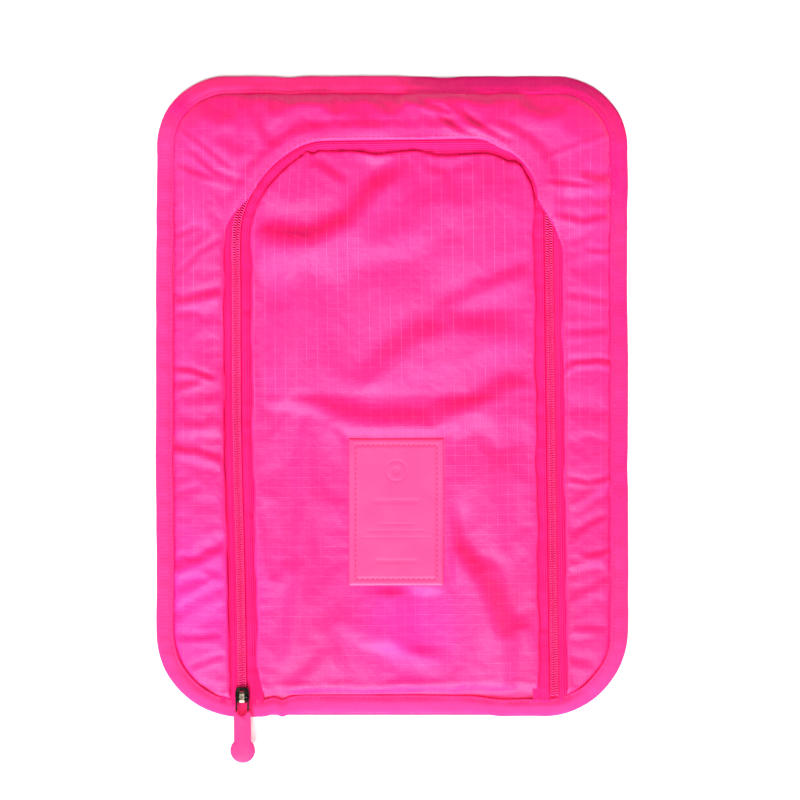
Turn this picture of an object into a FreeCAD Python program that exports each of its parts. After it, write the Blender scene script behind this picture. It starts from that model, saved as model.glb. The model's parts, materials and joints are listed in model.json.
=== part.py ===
"""Zip-front travel shoe bag, empty and lying on its back.

The bag is two cloth faces bound together round the edge. The front face has an arched (inverted U) coil zip,
whose inside is a flap that folds down at the foot of the bag. Cloth layers are modelled at one nominal thickness.

Frame: +X to the right and +Y to the top of the bag as its front is looked at, +Z out of the front, millimetres.
The origin is the centre of the back panel's underside, which the bag rests on.
The front face is a wedge: its zip plane rises gently from the foot of the bag to the top, and as the cloth
lies, the zip is turned a little on the face. Zip pieces are drawn flat and upright, with heights measured
from the underside of the zip tapes, and then placed in that plane.
"""

import FreeCAD
import Part
import math
import os

# Outline of the bag
bag_width = 242.0
bag_height = 328.0
top_corner_radius = 37.0
foot_corner_radius = 44.0

# Cloth, tape and thread
cloth = 0.6
tape_thickness = 0.5
thread = 0.4
gap = 0.3

# Bound edge
binding_width = 8.5
binding_height = 3.4
seam_allowance = 7.3
back_rim_inset = 1.0
foot_edge_inset = 2.5
front_rim_low = 1.3

# Zip plane
zip_rise_deg = 1.3
zip_turn_deg = 0.75
zip_low_height = 3.0

# Zip, measured from the line down the middle of its chain
zip_centre_x = 1.3
zip_half_width = 79.5
zip_top_y = 132.5
zip_left_radius = 47.0
zip_right_radius = 33.0
chain_half_gap = 0.5
chain_half_width = 2.2
coil_thickness = 1.7
tape_width = 11.0
surround_edge = 5.0
surround_flat = 11.8
surround_foot_run = 10.0
panel_edge = 7.5

# Flap. It folds above the place that the pull reaches when it is laid up the zip
fold_y = -114.0
dome_rim = 5.0
dome_run = 12.0
dome_rise = 4.0
square_corner = 2.0
smallest_arch_radius = 5.0

# Seam tapes inside, which cover the raw edges beside the zip
seam_tape_width = 5.0

# Label
label_width = 48.0
label_height = 74.5
label_centre_x = 2.0
label_centre_y = -58.5
label_thickness = 1.2
label_corner = 1.5
label_stitch_inset = 3.2
label_stitch_pitch = 3.0
label_stitch_length = 2.2

# Slider, measured from the middle of its body
slider_y = -150.8
slider_length = 7.6
slider_width = 7.0
slider_blade = 0.7
slider_neck = 1.4
post_width = 0.6
post_length = 2.2

# Bail that holds the pull on the slider, and the lock spring under it
bail_width = 2.4
bail_length = 6.4
bail_height = 2.4
bail_window_length = 4.6
bail_window_height = 1.5
lock_width = 1.2
lock_thickness = 0.2

# Pull
wire_diameter = 0.9
wire_spacing = 6.0
wire_reach = 9.5
tab_start = 7.0
tab_neck_width = 8.7
tab_bulb_radius = 6.35
tab_bulb_reach = 27.3
tab_thickness = 1.8
tab_notch_radius = 2.3

half_width = bag_width / 2
half_height = bag_height / 2
seam_y = -half_height + seam_allowance
inner_foot_y = -half_height + binding_width
coil_top = tape_thickness + coil_thickness
layer_low = tape_thickness + 0.05
layer_high = layer_low + cloth
fold_height = coil_top + 0.1
slider_x = zip_centre_x - zip_half_width
rise = math.tan(math.radians(zip_rise_deg))


def vector(x, y, z=0.0):
    return FreeCAD.Vector(x, y, z)


def rounded_wire(x0, x1, y0, y1, foot_radius, left_radius, right_radius, z=0.0):
    """Closed rectangle with one radius at both foot corners, and radii of their own at the two top corners."""
    corners = [
        (x1 - foot_radius, y0 + foot_radius, foot_radius, -90),
        (x1 - right_radius, y1 - right_radius, right_radius, 0),
        (x0 + left_radius, y1 - left_radius, left_radius, 90),
        (x0 + foot_radius, y0 + foot_radius, foot_radius, 180),
    ]
    arcs = []
    for cx, cy, radius, start in corners:
        points = []
        for turn in (0, 45, 90):
            angle = math.radians(start + turn)
            points.append(vector(cx + radius * math.cos(angle), cy + radius * math.sin(angle), z))
        arcs.append(Part.Arc(*points).toShape())
    edges = []
    for arc, following in zip(arcs, arcs[1:] + arcs[:1]):
        edges.append(arc)
        edges.append(Part.makeLine(arc.Vertexes[-1].Point, following.Vertexes[0].Point))
    return Part.Wire(edges)


def bag_wire(inset, z=0.0):
    """Outline of the bag, moved in by inset."""
    return rounded_wire(
        -half_width + inset,
        half_width - inset,
        -half_height + inset,
        half_height - inset,
        foot_corner_radius - inset,
        top_corner_radius - inset,
        top_corner_radius - inset,
        z,
    )


def arch_wire(offset, low_y, z=0.0):
    """The zip's line moved out by offset (in, if negative), closed by a straight foot at low_y."""
    reach = zip_half_width + offset
    return rounded_wire(
        zip_centre_x - reach,
        zip_centre_x + reach,
        low_y,
        zip_top_y + offset,
        square_corner,
        max(zip_left_radius + offset, smallest_arch_radius),
        max(zip_right_radius + offset, smallest_arch_radius),
        z,
    )


def prism(wire, height):
    return Part.Face(wire).extrude(vector(0, 0, height))


def block(x0, x1, y0, y1, z0, z1):
    return Part.makeBox(x1 - x0, y1 - y0, z1 - z0, vector(x0, y0, z0))


def frustum(low_wire, high_wire):
    return Part.makeLoft([low_wire, high_wire], True, True)


def above(shape, low_y, high_y=half_height):
    """The part of a shape between two heights up the bag."""
    return shape.common(block(-half_width, half_width, low_y, high_y, -20, 40))


def arch_strip(inner, outer, low, high, low_y, high_y=half_height):
    """A strip that follows the zip between two offsets from its line."""
    deep = -half_height - 20
    ring = prism(arch_wire(outer, deep, low), high - low).cut(prism(arch_wire(inner, deep, low), high - low))
    return above(ring, low_y, high_y)


def inside_binding(shape):
    return shape.common(prism(bag_wire(binding_width + gap, -10), 50))


def turn(shape):
    """Turns an upright shape on the bag's face, as the zip lies."""
    placed = shape.copy()
    placed.rotate(vector(0, 0, 0), vector(0, 0, 1), zip_turn_deg)
    return placed


def tilt(shape):
    """Moves a shape drawn flat and upright into the zip's plane."""
    placed = turn(shape)
    placed.rotate(vector(0, seam_y, 0), vector(1, 0, 0), zip_rise_deg)
    placed.translate(vector(0, 0, zip_low_height))
    return placed


def plane_height(y):
    """Height of the underside of the zip tapes, y up the bag."""
    return zip_low_height + (y - seam_y) * rise


def domed_skin(rim_wire, foot_wire, crown_wire, rim_low):
    """A cloth skin with a flat rim, a slope from foot_wire up to crown_wire, and a flat crown."""
    slope = frustum(foot_wire, crown_wire)
    under = slope.copy()
    under.translate(vector(0, 0, -cloth))
    rim = prism(rim_wire, cloth)
    rim.translate(vector(0, 0, rim_low))
    return slope.fuse(rim).cut(under)


# ---- the bound edge and the back ----


def back_panel():
    """Lies flat inside the binding, and steps up to pass between the binding's two legs."""
    field = prism(bag_wire(binding_width + gap), cloth)
    rim = prism(bag_wire(back_rim_inset), cloth).cut(prism(bag_wire(binding_width + 3 * gap), cloth))
    rim.translate(vector(0, 0, cloth))
    joined = block(-half_width, half_width, -half_height, half_height, 0, 2 * cloth)
    step = prism(bag_wire(binding_width + gap), 2 * cloth).cut(prism(bag_wire(binding_width + 4 * gap), 2 * cloth))
    return field.fuse(rim).fuse(step).common(joined).removeSplitter()


def edge_binding():
    """A strip folded round the edge, in the section of a C."""
    body = prism(bag_wire(0), binding_height).cut(prism(bag_wire(binding_width), binding_height))
    pocket = prism(bag_wire(cloth), binding_height - 2 * cloth)
    pocket.translate(vector(0, 0, cloth))
    return body.cut(pocket)


def binding_thread():
    inset = binding_width - 1.6
    ring = prism(bag_wire(inset), thread).cut(prism(bag_wire(inset + thread), thread))
    ring.translate(vector(0, 0, binding_height))
    return ring


# ---- the front round the zip ----


def front_surround():
    """The front face outside the zip: a flat margin beside the zip, then a slope down to the bound edge."""
    foot_wire = bag_wire(binding_width + gap, front_rim_low + cloth)
    crown_low = seam_y + surround_foot_run
    crown_wire = tilt(arch_wire(surround_flat, crown_low, layer_high))
    skin = domed_skin(bag_wire(back_rim_inset), foot_wire, crown_wire, front_rim_low)
    inside = tilt(prism(arch_wire(surround_edge, -half_height - 20, -10), 30))
    beside_tape_ends = prism(arch_wire(tape_width + gap, inner_foot_y - gap, -10), 30)
    return skin.cut(inside).cut(tilt(above(beside_tape_ends, -half_height, crown_low + 1)))


def zip_tape_outer():
    return inside_binding(tilt(arch_strip(chain_half_gap, tape_width, 0, tape_thickness, inner_foot_y)))


def zip_coil_outer():
    return tilt(arch_strip(chain_half_gap, chain_half_width, tape_thickness, coil_top, slider_y - 0.6))


def surround_thread():
    inner = surround_edge + 1.4
    low_y = seam_y + surround_foot_run + 1
    return tilt(arch_strip(inner, inner + thread, layer_high, layer_high + thread / 2, low_y))


def surround_seam_tape():
    low = -cloth - 0.05
    strip = arch_strip(tape_width - seam_tape_width, tape_width, low, -0.05, inner_foot_y)
    return inside_binding(tilt(strip))


def inner_tape_tails():
    """The last of the inner tape on each side, which stays with the foot of the bag."""
    tails = arch_strip(-panel_edge + gap, -chain_half_gap, 0, tape_thickness, inner_foot_y, fold_y - gap)
    return inside_binding(tilt(tails))


def inner_coil_tails():
    tails = arch_strip(
        -chain_half_width, -chain_half_gap, tape_thickness, coil_top, slider_y - 0.6, fold_y - gap
    )
    return tilt(tails)


def panel_foot():
    """The strip of the front panel below the fold, sewn into the bound edge at the foot of the bag."""
    rise_y = inner_foot_y + 7
    line = [
        (-half_height + foot_edge_inset, front_rim_low),
        (inner_foot_y + gap, front_rim_low),
        (rise_y, plane_height(rise_y) + layer_low),
        (fold_y - gap, plane_height(fold_y - gap) + layer_low),
    ]
    top = [(y, z + cloth) for y, z in reversed(line)]
    x0 = zip_centre_x - zip_half_width + panel_edge
    points = [vector(x0, y, z) for y, z in line + top]
    profile = Part.makePolygon(points + points[:1])
    return turn(Part.Face(profile).extrude(vector(2 * (zip_half_width - panel_edge), 0, 0)))


# ---- the flap ----


def panel_wire(inset, z):
    return arch_wire(-panel_edge - inset, fold_y + gap + inset, z)


def front_panel():
    """The cloth of the flap, a shallow dome with a flat rim over the inner zip tape."""
    rim_wire = panel_wire(0, 0)
    foot_wire = panel_wire(dome_rim, layer_high)
    crown_wire = panel_wire(dome_rim + dome_run, layer_high + dome_rise)
    return tilt(domed_skin(rim_wire, foot_wire, crown_wire, layer_low))


def zip_tape_inner():
    return tilt(arch_strip(-tape_width, -chain_half_gap, 0, tape_thickness, fold_y + gap))


def zip_coil_inner():
    return tilt(arch_strip(-chain_half_width, -chain_half_gap, tape_thickness, coil_top, fold_y + gap))


def panel_seam_tape():
    low = -cloth - 0.05
    return tilt(arch_strip(-tape_width, -tape_width + seam_tape_width, low, -0.05, fold_y + 2))


def label_wire(inset, z):
    x = label_width / 2 - inset
    y = label_height / 2 - inset
    corner = max(label_corner - inset, 0.5)
    return rounded_wire(
        label_centre_x - x,
        label_centre_x + x,
        label_centre_y - y,
        label_centre_y + y,
        corner,
        corner,
        corner,
        z,
    )


def label_patch():
    low = layer_high + dome_rise
    return tilt(prism(label_wire(0, low), label_thickness))


def label_stitches():
    """Separate stitches in a rectangle just inside the label's edge."""
    low = layer_high + dome_rise + label_thickness
    half_x = label_width / 2 - label_stitch_inset
    half_y = label_height / 2 - label_stitch_inset
    stitches = []
    for half_run, half_side, upright in ((half_x, half_y, False), (half_y, half_x, True)):
        count = int(2 * half_run / label_stitch_pitch)
        for index in range(count):
            along = (index - (count - 1) / 2) * label_stitch_pitch
            for side in (-half_side, half_side):
                x, y = (side, along) if upright else (along, side)
                size_x, size_y = (thread, label_stitch_length) if upright else (label_stitch_length, thread)
                corner = vector(label_centre_x + x - size_x / 2, label_centre_y + y - size_y / 2, low)
                stitches.append(Part.makeBox(size_x, size_y, thread / 2, corner))
    return tilt(Part.makeCompound(stitches))


# ---- the slider and its pull ----

blade_low = -gap - slider_blade
blade_high = coil_top + gap
slider_top = blade_high + slider_blade
pivot_y = slider_y - 0.8
pivot_height = slider_top + 0.15 + wire_diameter / 2


def slider_plate(low, thickness):
    """The outline of a blade: wide at its mouth and narrower at its tail, with the corners cut off."""
    half = slider_width / 2
    mouth = slider_y - slider_length / 2
    tail = slider_y + slider_length / 2
    outline = [
        (-half + slider_neck, mouth),
        (half - slider_neck, mouth),
        (half, mouth + slider_neck),
        (half, slider_y + slider_neck),
        (half - slider_neck / 2, tail),
        (-half + slider_neck / 2, tail),
        (-half, slider_y + slider_neck),
        (-half, mouth + slider_neck),
    ]
    points = [vector(slider_x + x, y, low) for x, y in outline]
    return prism(Part.makePolygon(points + points[:1]), thickness)


def slider_body():
    """Two blades joined by a post, with flanges on the upper blade that hold the coils together."""
    flange_low = tape_thickness + gap
    flange_in = chain_half_width + gap
    upper = slider_plate(blade_high, slider_blade)
    lower = slider_plate(blade_low, slider_blade)
    flanges = slider_plate(flange_low, slider_top - flange_low)
    channel = block(
        slider_x - flange_in, slider_x + flange_in, slider_y - slider_length, slider_y + slider_length, -5, 10
    )
    flanges = flanges.cut(channel)
    mouth = slider_y - slider_length / 2
    post = block(
        slider_x - post_width / 2,
        slider_x + post_width / 2,
        mouth + 0.6,
        mouth + 0.6 + post_length,
        blade_low + slider_blade / 2,
        blade_high + slider_blade / 2,
    )
    return tilt(upper.fuse(flanges).fuse(post).fuse(lower).removeSplitter())


def slider_bail():
    """The arched bridge on the slider that the pull's wire passes under."""
    x0 = slider_x - bail_width / 2
    y0 = pivot_y - bail_length / 2
    arch = block(x0, x0 + bail_width, y0, y0 + bail_length, slider_top, slider_top + bail_height)
    shoulders = [
        edge
        for edge in arch.Edges
        if abs(edge.CenterOfMass.z - slider_top - bail_height) < 0.01 and edge.Length < bail_width + 0.1
    ]
    arch = arch.makeFillet(bail_height * 0.6, shoulders)
    window_y = pivot_y - bail_window_length / 2
    window = block(
        x0 - 1, x0 + bail_width + 1, window_y, window_y + bail_window_length, slider_top - 1,
        slider_top + bail_window_height,
    )
    return tilt(arch.cut(window))


def lock_spring():
    """The sheet spring under the bail, between the wire and the bridge, whose tip locks the coil."""
    low = slider_top + bail_window_height - lock_thickness
    y0 = pivot_y - bail_window_length / 2
    leaf = block(
        slider_x - lock_width / 2, slider_x + lock_width / 2, y0, y0 + bail_window_length, low,
        low + lock_thickness,
    )
    leg = block(
        slider_x - lock_width / 2, slider_x + lock_width / 2, y0 + bail_window_length - lock_thickness,
        y0 + bail_window_length, slider_top, low,
    )
    return tilt(leaf.fuse(leg).removeSplitter())


def wire_shape():
    """The pull's wire: a crossbar through the bail, and two legs down into the tab."""
    radius = wire_diameter / 2
    half = wire_spacing / 2
    corner = 1.2
    start = vector(slider_x - half, pivot_y - wire_reach, pivot_height)
    bend = math.sqrt(0.5)
    points = []
    for side in (-1, 1):
        x = slider_x + side * half
        inner = x - side * corner
        points.append(
            (
                vector(x, pivot_y - corner, pivot_height),
                vector(inner + side * corner * bend, pivot_y - corner + corner * bend, pivot_height),
                vector(inner, pivot_y, pivot_height),
            )
        )
    left, right = points
    path = Part.Wire(
        [
            Part.makeLine(start, left[0]),
            Part.Arc(*left).toShape(),
            Part.makeLine(left[2], right[2]),
            Part.Arc(right[2], right[1], right[0]).toShape(),
            Part.makeLine(right[0], vector(slider_x + half, pivot_y - wire_reach, pivot_height)),
        ]
    )
    section = Part.Wire(Part.makeCircle(radius, start, vector(0, 1, 0)))
    return path.makePipeShell([section], True, True)


def pull_wire():
    return tilt(wire_shape())


def pull_tab():
    """Moulded rubber tab: a straight neck with a notch between two horns, and a round end."""
    low = pivot_height - tab_thickness / 2
    neck = block(
        slider_x - tab_neck_width / 2,
        slider_x + tab_neck_width / 2,
        pivot_y - tab_bulb_reach,
        pivot_y - tab_start,
        low,
        low + tab_thickness,
    )
    bulb = Part.makeCylinder(
        tab_bulb_radius, tab_thickness, vector(slider_x, pivot_y - tab_bulb_reach, low)
    )
    notch = Part.makeCylinder(
        tab_notch_radius, tab_thickness + 2, vector(slider_x, pivot_y - tab_start, low - 1)
    )
    return tilt(neck.fuse(bulb).cut(notch).removeSplitter().cut(wire_shape()))


PARTS = {
    "back_panel": back_panel,
    "edge_binding": edge_binding,
    "binding_thread": binding_thread,
    "front_surround": front_surround,
    "surround_thread": surround_thread,
    "surround_seam_tape": surround_seam_tape,
    "zip_tape_outer": zip_tape_outer,
    "zip_coil_outer": zip_coil_outer,
    "inner_tape_tails": inner_tape_tails,
    "inner_coil_tails": inner_coil_tails,
    "panel_foot": panel_foot,
    "front_panel": front_panel,
    "zip_tape_inner": zip_tape_inner,
    "zip_coil_inner": zip_coil_inner,
    "panel_seam_tape": panel_seam_tape,
    "label_patch": label_patch,
    "label_stitches": label_stitches,
    "slider_body": slider_body,
    "slider_bail": slider_bail,
    "lock_spring": lock_spring,
    "pull_wire": pull_wire,
    "pull_tab": pull_tab,
}


def main():
    os.makedirs("parts", exist_ok=True)
    for name, make in PARTS.items():
        shape = make()
        print(name, "valid", shape.isValid(), "solids", len(shape.Solids), "volume", round(shape.Volume, 1))
        shape.exportStep(os.path.join("parts", name + ".step"))
    pivot = tilt(Part.Vertex(slider_x, pivot_y, pivot_height)).Point
    fold = tilt(Part.Vertex(0, fold_y, fold_height)).Point
    print("pull pivot", pivot, "flap fold", fold)


main()
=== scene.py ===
import json
import math

import bpy
import numpy as np
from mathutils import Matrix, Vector, geometry, noise
from mathutils.bvhtree import BVHTree
from mathutils.kdtree import KDTree


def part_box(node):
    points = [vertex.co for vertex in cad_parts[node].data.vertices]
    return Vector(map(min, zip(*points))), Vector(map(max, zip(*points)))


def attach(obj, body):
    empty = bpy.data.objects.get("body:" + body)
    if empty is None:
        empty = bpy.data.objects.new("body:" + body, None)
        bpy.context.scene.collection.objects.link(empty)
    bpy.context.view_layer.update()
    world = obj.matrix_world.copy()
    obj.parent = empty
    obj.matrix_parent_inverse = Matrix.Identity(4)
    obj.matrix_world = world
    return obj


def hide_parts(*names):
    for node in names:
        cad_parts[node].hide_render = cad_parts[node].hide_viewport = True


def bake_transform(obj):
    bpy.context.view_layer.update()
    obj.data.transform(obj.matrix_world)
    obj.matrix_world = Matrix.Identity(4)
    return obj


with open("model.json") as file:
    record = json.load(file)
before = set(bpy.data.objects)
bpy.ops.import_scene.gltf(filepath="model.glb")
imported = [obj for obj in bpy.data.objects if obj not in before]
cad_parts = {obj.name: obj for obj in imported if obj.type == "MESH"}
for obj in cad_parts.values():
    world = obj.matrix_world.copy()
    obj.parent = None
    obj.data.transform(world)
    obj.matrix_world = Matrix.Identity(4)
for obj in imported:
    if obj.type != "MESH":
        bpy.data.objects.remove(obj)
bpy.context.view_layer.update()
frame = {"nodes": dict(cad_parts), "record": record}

# Lengths are millimetres until a mesh is made. x and y are the bag's own, as in its frame.
MM = 0.001

SQUARE = np.array([(-1, -1), (1, -1), (1, 1), (-1, 1)])

# Outline and bound edge
BINDING_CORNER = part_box("edge_binding")[1]
HALF_WIDTH = round(BINDING_CORNER[0] / MM, 3)
HALF_HEIGHT = round(BINDING_CORNER[1] / MM, 3)
TOP_RADIUS = 37.0
FOOT_RADIUS = 44.0
BINDING_STEP = 1.3
BINDING_DEPTH = 9.0
BINDING_STITCHES_IN = 7.4

# Zip plane: it rises from the foot of the bag, and is turned a little on the face
RISE = math.radians(1.3)
TURN = math.radians(0.75)
SEAM_Y = -156.7
PLANE_LOW = 3.0

# Zip line, tapes and coil
ZIP_X = 1.3
ZIP_HALF = 79.5
ZIP_TOP = 132.5
LEFT_RADIUS = 47.0
RIGHT_RADIUS = 33.0
TAPE_WIDTH = 11.0
TAPE_THICKNESS = 0.5
COIL_GAP = -0.22
COIL_REACH = 2.3
COIL_PITCH = 1.25
PANEL_EDGE = 7.5
BORDER_EDGE = 6.2
BORDER_COVER = 2.6

# How far down each piece beside the zip runs
CLOTH_FOOT = -160.0
TAPE_FOOT = -156.5
BORDER_SEAM_TAPE_FOOT = -154.5
COIL_FOOT = -154.0
BORDER_STITCHES_FOOT = -150.0
PANEL_SEAM_TAPE_FOOT = -110.0

# Cloth
RIPSTOP_PITCH = 5.3
RIPSTOP_ROW = RIPSTOP_PITCH * 0.95
CLOTH_THICKNESS = 0.28
SETTLE_FRAMES = 24
SETTLE_SCALE = 10.0
SETTLE_PRESSURE = 0.05
LONGEST_MOVE = 2.0


# ---- places ----


def bow(x, y):
    """How far the left leg of the zip strays sideways from straight, at a flat, upright place."""
    stray = 3.4 * smooth((y - 76.0) / 44.0) - 0.8 * bell(y, -15.0, 55.0)
    return stray * smooth((-x - 30.0) / 30.0)


def place(points):
    """Moves points drawn flat and upright, as (x, y, height over the zip plane), to where the zip lies."""
    p = np.atleast_2d(np.asarray(points, float))
    flat_x = p[:, 0] + bow(p[:, 0], p[:, 1])
    x = flat_x * math.cos(TURN) - p[:, 1] * math.sin(TURN)
    y = flat_x * math.sin(TURN) + p[:, 1] * math.cos(TURN) - SEAM_Y
    h = p[:, 2]
    risen_y = SEAM_Y + y * math.cos(RISE) - h * math.sin(RISE)
    return np.column_stack([x, risen_y, PLANE_LOW + y * math.sin(RISE) + h * math.cos(RISE)])


def upright(x, y):
    """The flat, upright x and y of a place on the bag."""
    flat_x = x * math.cos(TURN) + y * math.sin(TURN)
    flat_y = y * math.cos(TURN) - x * math.sin(TURN)
    return flat_x - bow(flat_x, flat_y), flat_y


def plane_z(y):
    return PLANE_LOW + (y - SEAM_Y) * math.tan(RISE)


def smooth(t):
    """0 up to 0, 1 from 1 on, and an even curve between."""
    t = np.clip(t, 0.0, 1.0)
    return t * t * (3 - 2 * t)


def bell(value, centre, width):
    """1 at the centre, fading to 0 on both sides."""
    return np.exp(-(((value - centre) / width) ** 2))


def rolled(inside, radius):
    """How high a rounded edge stands, from 0 at its rim to 1 as far inside it as its radius."""
    return np.sqrt(1 - (1 - np.clip(inside / radius, 0, 1)) ** 2)


def arch_distance(x, y):
    """How far a flat, upright place is outside the zip's line; negative inside it."""
    out = np.zeros(np.shape(x))
    for side, radius in ((-1, LEFT_RADIUS), (1, RIGHT_RADIUS)):
        dx = side * (x - ZIP_X) - ZIP_HALF + radius
        dy = y - ZIP_TOP + radius
        corner = (dx > 0) & (dy > 0)
        d = np.where(corner, np.hypot(dx, dy), np.maximum(dx, dy)) - radius
        out = np.where(side * (x - ZIP_X) >= 0, d, out)
    return out


def outline_distance(x, y):
    """How far a place is inside the bag's outline."""
    radius = np.where(y > 0, TOP_RADIUS, FOOT_RADIUS)
    dx = np.abs(x) - HALF_WIDTH + radius
    dy = np.abs(y) - HALF_HEIGHT + radius
    corner = (dx > 0) & (dy > 0)
    return radius - np.where(corner, np.hypot(dx, dy), np.maximum(dx, dy))


def arc(cx, cy, radius, start, end, step):
    count = max(3, int(abs(math.radians(end - start)) * radius / step))
    angles = np.radians(np.linspace(start, end, count + 1))
    return np.stack([cx + radius * np.cos(angles), cy + radius * np.sin(angles)], axis=1)


def distances(line):
    """How far along a line each of its points is."""
    return np.concatenate([[0.0], np.cumsum(np.linalg.norm(np.diff(line, axis=0), axis=1))])


def read_along(at, along, values):
    """Values held at the points of a line, read at distances along it."""
    return np.stack([np.interp(at, along, column) for column in values.T], axis=-1)


def spaced(points, step, closed=False):
    """The line again, with evenly spaced points."""
    p = np.asarray(points, float)
    if closed:
        p = np.vstack([p, p[:1]])
    along = distances(p)
    count = max(2, int(round(along[-1] / step)))
    at = np.linspace(0, along[-1], count + 1)
    return read_along(at[:-1] if closed else at, along, p)


def arch_line(offset, low_y, step):
    """The zip's line moved out by offset, from the left foot over the top to the right foot."""
    reach = ZIP_HALF + offset
    left, right = LEFT_RADIUS + offset, RIGHT_RADIUS + offset
    top = ZIP_TOP + offset
    pieces = [
        [[ZIP_X - reach, low_y]],
        arc(ZIP_X - reach + left, top - left, left, 180, 90, step),
        arc(ZIP_X + reach - right, top - right, right, 90, 0, step),
        [[ZIP_X + reach, low_y]],
    ]
    return spaced(np.vstack(pieces), step)


def bag_line(inset, step):
    """The bag's outline moved in, closed, from the middle of the foot round by the right."""
    x, y = HALF_WIDTH - inset, HALF_HEIGHT - inset
    foot, top = FOOT_RADIUS - inset, TOP_RADIUS - inset
    pieces = [
        [[0, -y]],
        arc(x - foot, -y + foot, foot, -90, 0, step),
        arc(x - top, y - top, top, 0, 90, step),
        arc(-x + top, y - top, top, 90, 180, step),
        arc(-x + foot, -y + foot, foot, 180, 270, step),
    ]
    return spaced(np.vstack(pieces), step, closed=True)


def outward(line, closed=False):
    """Unit vectors to the left of a line's run, at each of its points."""
    if closed:
        run = np.roll(line, -1, axis=0) - np.roll(line, 1, axis=0)
    else:
        run = np.gradient(line, axis=0)
    run = run[:, :2] / np.linalg.norm(run[:, :2], axis=1)[:, None]
    return np.stack([-run[:, 1], run[:, 0]], axis=1)


def ripple(points, size, seed):
    """Smooth noise between -1 and 1 at each point, repeatable."""
    shift = Vector((seed * 17.3, seed * 5.1, seed * 11.7))
    return np.array([noise.noise(Vector((p[0] / size[0], p[1] / size[1], 0.0)) + shift) for p in points])


# ---- meshes ----


def new_object(name, data):
    obj = bpy.data.objects.new(name, data)
    bpy.context.scene.collection.objects.link(obj)
    return obj


def new_mesh(name, points, faces, uvs=None):
    """A smooth-shaded mesh object from points in millimetres, with one UV, in metres, for each point."""
    mesh = bpy.data.meshes.new(name)
    mesh.from_pydata((np.asarray(points) * MM).tolist(), [], [list(map(int, f)) for f in faces])
    mesh.update()
    mesh.shade_smooth()
    if uvs is not None:
        layer = mesh.uv_layers.new(name="cut")
        corners = np.zeros(len(mesh.loops), np.int32)
        mesh.loops.foreach_get("vertex_index", corners)
        layer.data.foreach_set("uv", (np.asarray(uvs)[corners] * MM).astype(np.float32).ravel())
    return new_object(name, mesh)


def grid_faces(rows, width, around=False, closed=False):
    """Quads between rows of points. Around joins each row's ends; closed joins the last row to the first."""
    faces = []
    for i in range(rows if closed else rows - 1):
        a, b = i * width, (i + 1) % rows * width
        for j in range(width if around else width - 1):
            k = (j + 1) % width
            faces.append((a + j, a + k, b + k, b + j))
    return faces


def tube_faces(rings, sides):
    """The faces of a tube of rings of points, with both ends shut."""
    last = (rings - 1) * sides
    ends = [list(reversed(range(sides))), [last + k for k in range(sides)]]
    return grid_faces(rings, sides, around=True) + ends


def give_material(obj, mat):
    obj.data.materials.clear()
    obj.data.materials.append(mat)


def finish_piece(obj, mat):
    give_material(obj, mat)
    return obj


def thicken(obj, thickness, offset=-1.0):
    """Gives a surface its thickness: behind it, or half on each side where the offset is 0."""
    solid = obj.modifiers.new("thickness", "SOLIDIFY")
    solid.thickness = thickness * MM
    solid.offset = offset
    solid.use_even_offset = True
    graph = bpy.context.evaluated_depsgraph_get()
    graph.update()
    old = obj.data
    mesh = bpy.data.meshes.new_from_object(obj.evaluated_get(graph), depsgraph=graph)
    obj.modifiers.clear()
    obj.data = mesh
    bpy.data.meshes.remove(old)
    mesh.shade_smooth()


def inside_polygon(x, y, loop):
    inside = np.zeros(len(x), bool)
    for a, b in zip(loop, np.roll(loop, -1, axis=0)):
        crosses = (a[1] > y) != (b[1] > y)
        span = b[1] - a[1] if b[1] != a[1] else 1e-9
        inside ^= crosses & (x < (b[0] - a[0]) * (y - a[1]) / span + a[0])
    return inside


def cut_cloth(loop, spacing, rows=()):
    """Points and triangles of a flat cut. Its edge's points come first, and rows are more lines of points."""
    low, high = loop.min(axis=0), loop.max(axis=0)
    taken = np.vstack([loop, *rows])
    grid = []
    for i, y in enumerate(np.arange(low[1], high[1], spacing * math.sqrt(0.75))):
        xs = np.arange(low[0] + (spacing / 2 if i % 2 else 0), high[0], spacing)
        grid.append(np.stack([xs, np.full(len(xs), y)], axis=1))
    grid = np.vstack(grid)
    grid = grid[inside_polygon(grid[:, 0], grid[:, 1], loop)]
    near = KDTree(len(taken))
    for i, p in enumerate(taken):
        near.insert((*p, 0.0), i)
    near.balance()
    far = [near.find((*p, 0.0))[2] > 0.75 * spacing for p in grid]
    points = [Vector(p) for p in np.vstack([taken, grid[far]])]
    ring = list(range(len(loop)))
    result = geometry.delaunay_2d_cdt(points, [], [ring], 1, 1e-4)
    flat = np.array([list(v) for v in result[0]])
    return flat, [list(f) for f in result[2]]


CLOTH_SETTINGS = dict(
    quality=7, mass=0.15, tension_stiffness=30, compression_stiffness=30, shear_stiffness=12,
    tension_damping=12, compression_damping=12, bending_damping=1.5, air_damping=3,
    vertex_group_mass="pins", use_pressure=True, uniform_pressure_force=SETTLE_PRESSURE,
)


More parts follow.
